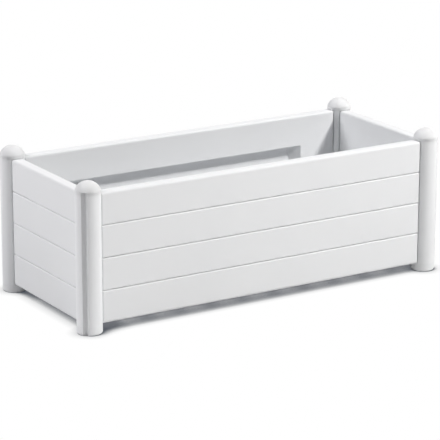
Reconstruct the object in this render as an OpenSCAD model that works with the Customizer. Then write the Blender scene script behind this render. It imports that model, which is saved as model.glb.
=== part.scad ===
// Long garden planter in moulded plastic. Four panels, each moulded to look like stacked planks,
// drop by T-shaped tongues into the channels of four hollow corner posts. Domed caps press into
// the posts and hold the panels down, and feet close the posts at the ground. A ribbed floor lies
// on ledges inside. Millimetres, +Z up, front at -Y, origin on the ground at the middle.

/* [Overall] */
// Length over the posts
planter_length = 1000; // [800:10:1300]
// Depth over the posts
planter_depth = 435; // [360:5:600]
// Open gap between the ground and the panels
ground_gap = 21; // [16:1:35]

/* [Panels] */
// Planks that each panel shows
plank_count = 4; // [3:1:5]
// Height of one plank, groove to groove
plank_height = 77.5; // [65:0.5:95]
// Thickness of the panels' rims
panel_thickness = 30; // [28:0.5:32]
// Thickness of the web behind the recess
web_thickness = 7; // [6:0.5:12]
// Rounding of the panels' edges
edge_radius = 5.5; // [3:0.5:7]
// Width of a groove at the face
groove_width = 7; // [5:0.5:8]
// Width of a groove at its bottom
groove_slot = 1; // [0.8:0.1:1.6]
// Depth of a groove
groove_depth = 3.5; // [3.5:0.1:4.5]
// Rim above the recess
recess_top_band = 78; // [60:1:90]
// Rim below the recess
recess_bottom_band = 60; // [52:1:70]
// Rim at each end of the recess
recess_end_band = 102; // [80:1:110]
// Rounding of the recess's corners
recess_radius = 3; // [1:0.5:8]
// How far the recess's ends slope in towards its bottom
recess_slope = 22; // [4:1:35]

/* [Tongues] */
// Thickness of a tongue's stem
stem_thickness = 7; // [5:0.5:8]
// Width of a tongue's head
head_width = 13.6; // [12:0.2:14]
// Thickness of a tongue's head
head_thickness = 4.8; // [4:0.1:5]
// Clearance round each part that slides into another
fit = 0.3; // [0.2:0.05:0.4]

/* [Posts] */
// Diameter of the posts and their caps
post_diameter = 60; // [58:1:70]
// How far the flats for the panels' ends are cut into the posts
flat_depth = 5.2; // [4.6:0.1:5.4]
// How far the notch's faces stand out past the panels' faces
notch_step = 0.5; // [0.3:0.1:1.5]
// Wall of the posts
post_wall = 3; // [2.5:0.1:3.4]
// Lip that holds a tongue's head in its channel
channel_lip = 3.2; // [3:0.1:3.4]

/* [Feet] */
// Rounding of a foot's lower edge
foot_radius = 5; // [3:0.5:5]
// Height of a foot's plug inside the post
plug_height = 14; // [8:1:30]
// Thickness of a foot's sole under its hollow
sole_thickness = 5; // [4:0.5:8]

/* [Caps] */
// Height of the cap's rim above the panels
rim_height = 8; // [6:0.5:14]
// Height of the dome above its rim
dome_height = 21; // [16:0.5:28]
// Height of the fine groove under the rim
shadow_height = 0.8; // [0.5:0.1:1.2]
// Depth of the fine groove under the rim
shadow_depth = 1; // [0.5:0.1:1.5]
// Wall of the dome
cap_wall = 3; // [2.5:0.1:4]
// Length of the cap's plug inside the post
spigot_length = 30; // [15:1:50]
// Wall of the plugs of the caps and feet
spigot_wall = 2.5; // [2:0.1:3]

/* [Floor] */
// Height of the ledges' upper side above the panels' lower edge
ledge_rise = 24; // [21:1:34]
// How far the ledges stand in from the panels
ledge_width = 12; // [8:1:16]
// Thickness of a ledge at its free edge
ledge_tip = 3; // [2:0.5:5]
// Thickness of a ledge at the panel
ledge_root = 12; // [6:0.5:16]
// Bare length between a ledge's end and the panel's end
ledge_setback = 40; // [30:1:60]
// Thickness of the floor's plate
floor_thickness = 4; // [3:0.5:6]
// Play between the floor and the walls
floor_gap = 4; // [1.5:0.5:5]
// Depth of the floor's ribs under its plate
rib_depth = 18; // [10:1:22]
// Thickness of the floor's ribs
rib_thickness = 3; // [2:0.5:4]
// Widest spacing of the floor's ribs
rib_spacing = 90; // [60:5:95]
// Diameter of the drain holes
drain_diameter = 13; // [8:1:20]

/* [Hidden] */
$fn = 64;
over = 1;
white = [0.94, 0.95, 0.96];

panel_height = plank_count * plank_height;
panel_top = ground_gap + panel_height;
post_radius = post_diameter / 2;
post_flat = post_radius - flat_depth;
panel_end = post_flat + fit;
head_front = post_flat - channel_lip - fit;
head_back = head_front - head_thickness;
notch_face = panel_thickness / 2 + notch_step;
axis_x = planter_length / 2 - post_radius;
axis_y = planter_depth / 2 - post_radius;
post_top = panel_top + fit;
foot_top = ground_gap - fit;
tongue_bottom = ground_gap + edge_radius;
tongue_top = panel_top - edge_radius;
rim_z = panel_top + rim_height;
dome_radius = (post_radius ^ 2 + dome_height ^ 2) / (2 * dome_height);
dome_centre = rim_z + dome_height - dome_radius;
lip_radius = (groove_width - groove_slot) / 2;
inside_x = 2 * axis_x - panel_thickness;
inside_y = 2 * axis_y - panel_thickness;
floor_z = ground_gap + ledge_rise;

front_left = [-1, -1];
front_right = [1, -1];
back_left = [-1, 1];
back_right = [1, 1];

// Places a corner part. It is drawn with the post's axis at the origin and the notch towards
// +X +Y, so that the panels leave along -X and -Y.
module at_corner(side) {
    translate([side.x * axis_x, side.y * axis_y, 0])
        rotate(atan2(side.y, side.x) - 45)
            children();
}

// Repeats an outline for the two panels that meet at a post
module both_panels() {
    for (turn = [0, 90])
        rotate(turn)
            children();
}

module round_rectangle(size, radius) {
    square([size.x - 2 * radius, size.y], center = true);
    square([size.x, size.y - 2 * radius], center = true);
    for (x = [-1, 1], y = [-1, 1])
        translate([x * (size.x / 2 - radius), y * (size.y / 2 - radius)])
            circle(radius);
}

// Outline of the groove between two planks, cut into a face at X = 0 towards +X
module groove() {
    translate([-over, -groove_slot / 2])
        square([groove_depth + over, groove_slot]);
    difference() {
        translate([-over, -groove_width / 2])
            square([lip_radius + over, groove_width]);
        for (side = [-1, 1])
            translate([lip_radius, side * groove_width / 2])
                circle(lip_radius);
    }
}

// The same groove at every joint between planks of a panel centred on Y = 0
module grooves() {
    for (joint = [1:plank_count - 1])
        translate([0, joint * plank_height - panel_height / 2])
            groove();
}

// Section of the T tongue of the panel that leaves a post along -X, grown by its clearance
module tongue_section(clearance = 0) {
    translate([-head_front - clearance, -head_width / 2 - clearance])
        square([head_thickness + 2 * clearance, head_width + 2 * clearance]);
    translate([-panel_end - over, -stem_thickness / 2 - clearance])
        square([panel_end + over - head_back, stem_thickness + 2 * clearance]);
}

// Circle of the post with the square notch in its outer corner
module notched_circle(inset = 0) {
    difference() {
        circle(post_radius - inset);
        translate([notch_face - inset, notch_face - inset])
            square(post_diameter);
    }
}

// Outside of the post: the notched circle with flats for the panels' ends
module post_outline() {
    difference() {
        notched_circle();
        both_panels()
            translate([-post_flat - post_diameter, -post_radius])
                square(post_diameter);
    }
}

// Hollow of the post at a wall of the given thickness, which also runs round both channels
module post_hollow(wall) {
    channel_back = head_back - fit - wall;
    channel_width = head_width + 2 * (fit + wall);
    difference() {
        notched_circle(wall);
        both_panels() {
            translate([wall - post_flat - post_diameter, -post_radius])
                square(post_diameter);
            translate([-post_diameter, -channel_width / 2])
                square([post_diameter - channel_back, channel_width]);
        }
    }
}

// Panel between two posts whose axes are span apart, outer face towards -Y
module panel(span) {
    length = span - 2 * panel_end;
    color(white)
        translate([0, 0, ground_gap + panel_height / 2]) {
            difference() {
                panel_body(length);
                panel_recess(length);
            }
            ledge(length);
        }
    color(white)
        translate([0, 0, tongue_bottom])
            linear_extrude(tongue_top - tongue_bottom)
                for (turn = [0, 180])
                    rotate(turn)
                        translate([span / 2, 0])
                            tongue_section();
}

// Rounded slab whose planks are parted by grooves on the outer face and round the ends
module panel_body(length) {
    intersection() {
        rotate([90, 0, 90])
            linear_extrude(length + over, center = true)
                difference() {
                    round_rectangle([panel_thickness, panel_height], edge_radius);
                    translate([-panel_thickness / 2, 0])
                        grooves();
                }
        rotate([90, 0, 0])
            linear_extrude(panel_thickness + over, center = true)
                difference() {
                    round_rectangle([length, panel_height], edge_radius);
                    for (turn = [0, 180])
                        rotate(turn)
                            translate([-length / 2, 0])
                                grooves();
                }
        linear_extrude(panel_height + over, center = true)
            round_rectangle([length, panel_thickness], edge_radius);
    }
}

// Wide shallow recess in the inner face, which leaves the thin web that carries the planks. Its
// ends slope in towards the web.
module panel_recess(length) {
    recess_size = [
        length - 2 * recess_end_band,
        panel_height - recess_top_band - recess_bottom_band
    ];
    depth = panel_thickness - web_thickness;
    bottom_half = recess_size.x / 2 - recess_slope;
    top_half = recess_size.x / 2 + recess_slope * over / depth;
    translate([0, web_thickness - panel_thickness / 2, (recess_bottom_band - recess_top_band) / 2])
        intersection() {
            rotate([-90, 0, 0])
                linear_extrude(depth + over)
                    round_rectangle(recess_size, recess_radius);
            linear_extrude(recess_size.y + over, center = true)
                polygon([
                    [-bottom_half, 0],
                    [bottom_half, 0],
                    [top_half, depth + over],
                    [-top_half, depth + over]
                ]);
        }
}

// Ledge along the inner face, deeper at the panel than at its free edge
module ledge(length) {
    inner_face = panel_thickness / 2;
    upper_side = ledge_rise - panel_height / 2;
    rotate([90, 0, 90])
        linear_extrude(length - 2 * ledge_setback, center = true)
            polygon([
                [inner_face - over, upper_side],
                [inner_face + ledge_width, upper_side],
                [inner_face + ledge_width, upper_side - ledge_tip],
                [inner_face, upper_side - ledge_root],
                [inner_face - over, upper_side - ledge_root]
            ]);
}

module front_panel() {
    translate([0, -axis_y, 0])
        panel(2 * axis_x);
}

module back_panel() {
    rotate(180)
        front_panel();
}

module left_panel() {
    translate([-axis_x, 0, 0])
        rotate(-90)
            panel(2 * axis_y);
}

module right_panel() {
    rotate(180)
        left_panel();
}

// Hollow corner post of one section from foot to cap
module post(side) {
    color(white)
        at_corner(side)
            translate([0, 0, foot_top])
                linear_extrude(post_top - foot_top)
                    difference() {
                        post_outline();
                        post_hollow(post_wall);
                        both_panels()
                            tongue_section(fit);
                    }
}

// Domed cap: notched collar on the post, fine groove, full round rim, and a hollow plug
module cap(side) {
    collar_top = rim_z - shadow_height;
    color(white)
        at_corner(side)
            difference() {
                union() {
                    translate([0, 0, post_top])
                        linear_extrude(collar_top - post_top)
                            notched_circle();
                    translate([0, 0, post_top])
                        linear_extrude(rim_z - post_top)
                            notched_circle(shadow_depth);
                    rotate_extrude()
                        dome_section();
                    translate([0, 0, post_top - spigot_length])
                        linear_extrude(spigot_length + over)
                            post_hollow(post_wall + fit);
                }
                cap_hollow();
            }
}

module dome_section() {
    intersection() {
        translate([0, dome_centre])
            circle(dome_radius);
        translate([0, rim_z])
            square([post_radius, dome_height]);
    }
}

// Hollow of the cap, open at the bottom of its plug and domed at the top
module cap_hollow() {
    plug_bottom = post_top - spigot_length - over;
    intersection() {
        translate([0, 0, plug_bottom])
            linear_extrude(rim_z + dome_height - plug_bottom)
                post_hollow(post_wall + fit + spigot_wall);
        union() {
            translate([0, 0, dome_centre])
                sphere(dome_radius - cap_wall);
            translate([0, 0, plug_bottom])
                cylinder(h = dome_centre - plug_bottom, r = dome_radius - cap_wall);
        }
    }
}

// Foot: full round below the panels with a rounded lower edge, a plug in the post's hollow, the
// keys that carry the panels' tongues, and one hollow from the plug's top down to the sole
module foot(side) {
    color(white)
        at_corner(side)
            difference() {
                union() {
                    intersection() {
                        linear_extrude(foot_top)
                            notched_circle();
                        rotate_extrude()
                            foot_section();
                    }
                    translate([0, 0, foot_radius])
                        linear_extrude(foot_top + plug_height - foot_radius)
                            post_hollow(post_wall + fit);
                    translate([0, 0, foot_radius])
                        linear_extrude(tongue_bottom - foot_radius)
                            intersection() {
                                post_outline();
                                both_panels()
                                    tongue_section();
                            }
                }
                translate([0, 0, sole_thickness])
                    linear_extrude(foot_top + plug_height)
                        post_hollow(post_wall + fit + spigot_wall);
            }
}

module foot_section() {
    square([post_radius - foot_radius, foot_top]);
    translate([0, foot_radius])
        square([post_radius, foot_top - foot_radius]);
    translate([post_radius - foot_radius, foot_radius])
        circle(foot_radius);
}

// Floor: a plate cut round the posts, a grid of ribs under it and drain holes between the ribs
module floor_panel() {
    field = [
        inside_x - 2 * (ledge_width + floor_gap) - rib_thickness,
        inside_y - 2 * (ledge_width + floor_gap) - rib_thickness
    ];
    cells = [ceil(field.x / rib_spacing), ceil(field.y / rib_spacing)];
    pitch = [field.x / cells.x, field.y / cells.y];
    color(white)
        difference() {
            union() {
                translate([0, 0, floor_z])
                    linear_extrude(floor_thickness)
                        floor_outline();
                translate([0, 0, floor_z - rib_depth])
                    linear_extrude(rib_depth + over)
                        rib_grid(field, cells, pitch);
            }
            translate([0, 0, floor_z - over])
                linear_extrude(floor_thickness + 2 * over)
                    drain_holes(field, cells, pitch);
        }
}

// Drain holes in every other cell of the rib grid, the same to left and right and front and back
module drain_holes(field, cells, pitch) {
    for (i = [0:cells.x - 1], j = [0:cells.y - 1]) {
        steps_in = min(i, cells.x - 1 - i) + min(j, cells.y - 1 - j);
        if (steps_in % 2 == 0)
            translate([(i + 0.5) * pitch.x - field.x / 2, (j + 0.5) * pitch.y - field.y / 2])
                circle(d = drain_diameter);
    }
}

module floor_outline() {
    difference() {
        square([inside_x - 2 * floor_gap, inside_y - 2 * floor_gap], center = true);
        for (side = [front_left, front_right, back_left, back_right])
            translate([side.x * axis_x, side.y * axis_y])
                circle(post_radius + floor_gap);
    }
}

module rib_grid(field, cells, pitch) {
    for (i = [0:cells.x])
        translate([i * pitch.x - field.x / 2, 0])
            square([rib_thickness, field.y + rib_thickness], center = true);
    for (j = [0:cells.y])
        translate([0, j * pitch.y - field.y / 2])
            square([field.x + rib_thickness, rib_thickness], center = true);
}

front_panel();
back_panel();
left_panel();
right_panel();
post(front_left);  // post_front_left
post(front_right);  // post_front_right
post(back_left);  // post_back_left
post(back_right);  // post_back_right
cap(front_left);  // cap_front_left
cap(front_right);  // cap_front_right
cap(back_left);  // cap_back_left
cap(back_right);  // cap_back_right
foot(front_left);  // foot_front_left
foot(front_right);  // foot_front_right
foot(back_left);  // foot_back_left
foot(back_right);  // foot_back_right
floor_panel();
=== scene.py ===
import math

import bpy
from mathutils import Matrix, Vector

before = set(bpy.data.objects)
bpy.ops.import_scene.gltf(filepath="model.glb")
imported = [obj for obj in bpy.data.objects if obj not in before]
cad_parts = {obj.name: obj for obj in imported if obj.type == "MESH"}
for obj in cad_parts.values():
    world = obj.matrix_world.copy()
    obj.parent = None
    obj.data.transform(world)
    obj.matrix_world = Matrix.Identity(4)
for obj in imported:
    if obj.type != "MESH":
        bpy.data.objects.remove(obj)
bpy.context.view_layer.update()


# Four wall panels, moulded in white resin to look like stacked planks. The moulds leave a satin
# skin with a very fine grain, and the cooling of the thick rims leaves the broad faces a little
# wavy. Each one is slotted by its tongues between two posts.
PANELS = ["front_panel", "back_panel", "left_panel", "right_panel"]
PANEL_WHITE = (0.79, 0.801, 0.812, 1.0)
RESIN_IOR = 1.5
CLOUDS_PER_METRE = 9.0
CLOUD_DETAIL = 3.0
CLOUD_SHADE = (0.965, 0.97, 0.975, 1.0)
SHEEN_SPREAD = 0.06
GRAIN_DETAIL = 2.0
GRAIN_STRENGTH = 0.35
WAVES_PER_METRE = 14.0
WAVE_DETAIL = 1.0
WAVE_STRENGTH = 0.2
WAVE_DEPTH = 0.0004


def resin_material(name, white, roughness, grain_size, grain_depth):
    """White moulded resin: faint cloudiness in its colour, a fine grain and a slight waviness."""
    material = bpy.data.materials.new(name)
    material.use_nodes = True
    nodes = material.node_tree.nodes
    links = material.node_tree.links
    shader = nodes["Principled BSDF"]
    shader.inputs["IOR"].default_value = RESIN_IOR
    place = nodes.new("ShaderNodeTexCoord")

    clouds = nodes.new("ShaderNodeTexNoise")
    clouds.inputs["Scale"].default_value = CLOUDS_PER_METRE
    clouds.inputs["Detail"].default_value = CLOUD_DETAIL
    links.new(place.outputs["Object"], clouds.inputs["Vector"])
    tint = nodes.new("ShaderNodeMix")
    tint.data_type = "RGBA"
    tint.inputs["A"].default_value = white
    tint.inputs["B"].default_value = [part * shade for part, shade in zip(white, CLOUD_SHADE)]
    links.new(clouds.outputs["Fac"], tint.inputs["Factor"])
    links.new(tint.outputs["Result"], shader.inputs["Base Color"])

    grain = nodes.new("ShaderNodeTexNoise")
    grain.inputs["Scale"].default_value = 1.0 / grain_size
    grain.inputs["Detail"].default_value = GRAIN_DETAIL
    links.new(place.outputs["Object"], grain.inputs["Vector"])
    sheen = nodes.new("ShaderNodeMapRange")
    sheen.inputs["To Min"].default_value = roughness - SHEEN_SPREAD
    sheen.inputs["To Max"].default_value = roughness + SHEEN_SPREAD
    links.new(grain.outputs["Fac"], sheen.inputs["Value"])
    links.new(sheen.outputs["Result"], shader.inputs["Roughness"])

    skin = nodes.new("ShaderNodeBump")
    skin.inputs["Strength"].default_value = GRAIN_STRENGTH
    skin.inputs["Distance"].default_value = grain_depth
    links.new(grain.outputs["Fac"], skin.inputs["Height"])
    waves = nodes.new("ShaderNodeTexNoise")
    waves.inputs["Scale"].default_value = WAVES_PER_METRE
    waves.inputs["Detail"].default_value = WAVE_DETAIL
    links.new(place.outputs["Object"], waves.inputs["Vector"])
    sink = nodes.new("ShaderNodeBump")
    sink.inputs["Strength"].default_value = WAVE_STRENGTH
    sink.inputs["Distance"].default_value = WAVE_DEPTH
    links.new(waves.outputs["Fac"], sink.inputs["Height"])
    links.new(skin.outputs["Normal"], sink.inputs["Normal"])
    links.new(sink.outputs["Normal"], shader.inputs["Normal"])
    return material


def finish_nodes(names, material):
    """Put one material in the first slot of each CAD node."""
    for name in names:
        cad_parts[name].data.materials[0] = material


panel_resin = resin_material(
    "panel_resin",
    PANEL_WHITE,
    roughness=0.62,
    grain_size=0.0009,
    grain_depth=0.00008,
)
finish_nodes(PANELS, panel_resin)


# Four hollow corner posts of one section, extruded in the same white resin, so that their skin
# is smoother than the panels'. They hold the panels' tongues in their channels.
POSTS = ["post_front_left", "post_front_right", "post_back_left", "post_back_right"]
POST_WHITE = (0.79, 0.801, 0.812, 1.0)

post_resin = resin_material(
    "post_resin",
    POST_WHITE,
    roughness=0.54,
    grain_size=0.0012,
    grain_depth=0.00004,
)
finish_nodes(POSTS, post_resin)


# Four domed caps, moulded with a fine matt skin and pressed into the posts. Their walls are thin,
# so light spreads in the white resin and softens the shade on the domes.
CAPS = ["cap_front_left", "cap_front_right", "cap_back_left", "cap_back_right"]
CAP_WHITE = (0.77, 0.78, 0.79, 1.0)
CAP_GLOW = 0.8
CAP_GLOW_DEPTH = 0.009
CAP_GLOW_SPREAD = (1.0, 1.0, 1.0)

cap_resin = resin_material(
    "cap_resin",
    CAP_WHITE,
    roughness=0.68,
    grain_size=0.0012,
    grain_depth=0.00003,
)
cap_shader = cap_resin.node_tree.nodes["Principled BSDF"]
cap_shader.inputs["Subsurface Weight"].default_value = CAP_GLOW
cap_shader.inputs["Subsurface Radius"].default_value = CAP_GLOW_SPREAD
cap_shader.inputs["Subsurface Scale"].default_value = CAP_GLOW_DEPTH
finish_nodes(CAPS, cap_resin)


# Four feet that plug the hollow posts at the ground, moulded in the same kind of resin. Standing
# on the floor has left them a little greyer and duller than the posts.
FEET = ["foot_front_left", "foot_front_right", "foot_back_left", "foot_back_right"]
FOOT_WHITE = (0.77, 0.781, 0.792, 1.0)

foot_resin = resin_material(
    "foot_resin",
    FOOT_WHITE,
    roughness=0.6,
    grain_size=0.001,
    grain_depth=0.00006,
)
finish_nodes(FEET, foot_resin)


# Floor of the planter, a plain ribbed moulding with drain holes. Soil covers it, so it keeps the
# open grain of its mould, and it lies loose on the panels' ledges.
FLOOR_WHITE = (0.77, 0.78, 0.79, 1.0)

floor_resin = resin_material(
    "floor_resin",
    FLOOR_WHITE,
    roughness=0.56,
    grain_size=0.0008,
    grain_depth=0.0001,
)
finish_nodes(["floor_panel"], floor_resin)


# Studio: a seamless white ground that lights the planter as plain paper does, and air that gives
# no light. The camera, and what mirrors them, sees both as pure white, and the ground with a
# painted
# contact shadow: shade worked out by ambient occlusion and mixed into the paper's seen colour,
# which leans away from the back lamp and is deepest round the feet. The lamps' own cast shadows
# don't show.
PURE_WHITE = (1.0, 1.0, 1.0, 1.0)
GROUND_SIZE = 60.0
PAPER_WHITE = (0.8, 0.8, 0.8, 1.0)
PAPER_SEEN = 1.0
# The painted contact shadow: its samples, reach, lean, depth, faint blue tint and the feet's
# share.
CONTACT_SAMPLES = 32
SHADOW_REACH = 0.08
SHADOW_LEAN = (-0.38, 0.24, 0.89)
SHADOW_DEEPEST = 0.29
SHADOW_ENDS = 0.55
SHADOW_DARK = 0.15
PAINTED_SHADOW_TINT = (0.0, 0.01, 0.03, 1.0)
FOOT_REACH = 0.028
FOOT_POWER = 0.6
AIR_LIGHT = 0.0
AIR_SEEN = 1.0


def seen_directly(nodes, links):
    """1 for rays from the camera, a mirror or glass, and 0 for those that light other things."""
    ray = nodes.new("ShaderNodeLightPath")
    mirrored = nodes.new("ShaderNodeMath")
    mirrored.operation = "MAXIMUM"
    links.new(ray.outputs["Is Glossy Ray"], mirrored.inputs[0])
    links.new(ray.outputs["Is Transmission Ray"], mirrored.inputs[1])
    seen = nodes.new("ShaderNodeMath")
    seen.operation = "MAXIMUM"
    links.new(ray.outputs["Is Camera Ray"], seen.inputs[0])
    links.new(mirrored.outputs["Value"], seen.inputs[1])
    return seen.outputs["Value"]


bpy.ops.mesh.primitive_plane_add(size=GROUND_SIZE, location=(0.0, 0.0, 0.0))
ground = bpy.context.object
ground.name = "studio_ground"
paper = bpy.data.materials.new("studio_paper")
paper.use_nodes = True
nodes = paper.node_tree.nodes
links = paper.node_tree.links
nodes.clear()
lit_paper = nodes.new("ShaderNodeBsdfDiffuse")
lit_paper.inputs["Color"].default_value = PAPER_WHITE
# Painted shadow: ambient occlusion near the planter and round the feet darkens the colour that
# the camera sees on the paper.
lean = nodes.new("ShaderNodeCombineXYZ")
for axis, part in enumerate(SHADOW_LEAN):
    lean.inputs[axis].default_value = part
contact = nodes.new("ShaderNodeAmbientOcclusion")
contact.samples = CONTACT_SAMPLES
contact.inputs["Distance"].default_value = SHADOW_REACH
links.new(lean.outputs["Vector"], contact.inputs["Normal"])
level = nodes.new("ShaderNodeMapRange")
level.inputs["From Min"].default_value = SHADOW_DEEPEST
level.inputs["From Max"].default_value = SHADOW_ENDS
level.inputs["To Min"].default_value = SHADOW_DARK
level.inputs["To Max"].default_value = 1.0
links.new(contact.outputs["AO"], level.inputs["Value"])
foot_contact = nodes.new("ShaderNodeAmbientOcclusion")
foot_contact.samples = CONTACT_SAMPLES
foot_contact.inputs["Distance"].default_value = FOOT_REACH
foot_level = nodes.new("ShaderNodeMath")
foot_level.operation = "POWER"
foot_level.inputs[1].default_value = FOOT_POWER
links.new(foot_contact.outputs["AO"], foot_level.inputs[0])
both = nodes.new("ShaderNodeMath")
both.operation = "MULTIPLY"
links.new(level.outputs["Result"], both.inputs[0])
links.new(foot_level.outputs["Value"], both.inputs[1])
painted_shadow_paper = nodes.new("ShaderNodeMix")
painted_shadow_paper.data_type = "RGBA"
painted_shadow_paper.inputs["A"].default_value = PAINTED_SHADOW_TINT
painted_shadow_paper.inputs["B"].default_value = PURE_WHITE
links.new(both.outputs["Value"], painted_shadow_paper.inputs["Factor"])
white_paper = nodes.new("ShaderNodeEmission")
white_paper.inputs["Strength"].default_value = PAPER_SEEN
links.new(painted_shadow_paper.outputs["Result"], white_paper.inputs["Color"])
choice = nodes.new("ShaderNodeMixShader")
output = nodes.new("ShaderNodeOutputMaterial")
links.new(seen_directly(nodes, links), choice.inputs["Fac"])
links.new(lit_paper.outputs["BSDF"], choice.inputs[1])
links.new(white_paper.outputs["Emission"], choice.inputs[2])
links.new(choice.outputs["Shader"], output.inputs["Surface"])
ground.data.materials.append(paper)

world = bpy.data.worlds.new("studio_air")
bpy.context.scene.world = world
world.use_nodes = True
nodes = world.node_tree.nodes
links = world.node_tree.links
around = nodes["Background"]
around.inputs["Color"].default_value = PURE_WHITE
around.inputs["Strength"].default_value = AIR_LIGHT
behind = nodes.new("ShaderNodeBackground")
behind.inputs["Color"].default_value = PURE_WHITE
behind.inputs["Strength"].default_value = AIR_SEEN
choice = nodes.new("ShaderNodeMixShader")
links.new(seen_directly(nodes, links), choice.inputs["Fac"])
links.new(around.outputs["Background"], choice.inputs[1])
links.new(behind.outputs["Background"], choice.inputs[2])
links.new(choice.outputs["Shader"], nodes["World Output"].inputs["Surface"])


# Light: a key lamp from the right front, a broad softer one from behind on the left, and a faint
# one from the left that opens the shade of the short side.
WARM_WHITE = (1.0, 0.985, 0.97)
COOL_WHITE = (1.0, 0.985, 1.0)
PLANTER_MIDDLE = Vector((0.0, 0.0, 0.18))


def soft_lamp(name, place, size, power, color):
    """A round area lamp that points at the planter's middle."""
    data = bpy.data.lights.new(name, "AREA")
    data.shape = "DISK"
    data.size = size
    data.energy = power
    data.color = color
    lamp = bpy.data.objects.new(name, data)
    bpy.context.scene.collection.objects.link(lamp)
    lamp.location = place
    aim = PLANTER_MIDDLE - Vector(place)
    lamp.rotation_euler = aim.to_track_quat("-Z", "Y").to_euler()


soft_lamp("key_light", (2.712, -2.751, 4.102), size=0.85, power=304.0, color=WARM_WHITE)
soft_lamp("back_light", (-3.584, 2.24, 3.854), size=2.6, power=186.0, color=COOL_WHITE)
soft_lamp("left_light", (-4.641, -1.071, 2.93), size=1.4, power=30.0, color=COOL_WHITE)


# Camera: a long lens at the photograph's viewing angle. It looks down on the planter's front left
# corner from well back, so the edges of the box run almost parallel.
CAMERA_PLACE = (-2.910, -4.712, 1.768)
CAMERA_YAW = 31.63
CAMERA_PITCH = 16.29
CAMERA_ROLL = -0.08
LENS = 194.0
SENSOR_WIDTH = 36.0
FARTHEST_SEEN = 200.0

lens = bpy.data.cameras.new("camera")
lens.lens = LENS
lens.sensor_width = SENSOR_WIDTH
lens.clip_end = FARTHEST_SEEN
camera = bpy.data.objects.new("camera", lens)
bpy.context.scene.collection.objects.link(camera)
camera.location = CAMERA_PLACE
camera.rotation_euler = (
    math.radians(90.0 - CAMERA_PITCH),
    math.radians(CAMERA_ROLL),
    math.radians(-CAMERA_YAW),
)
bpy.context.scene.camera = camera
bpy.context.scene.view_settings.view_transform = "Standard"
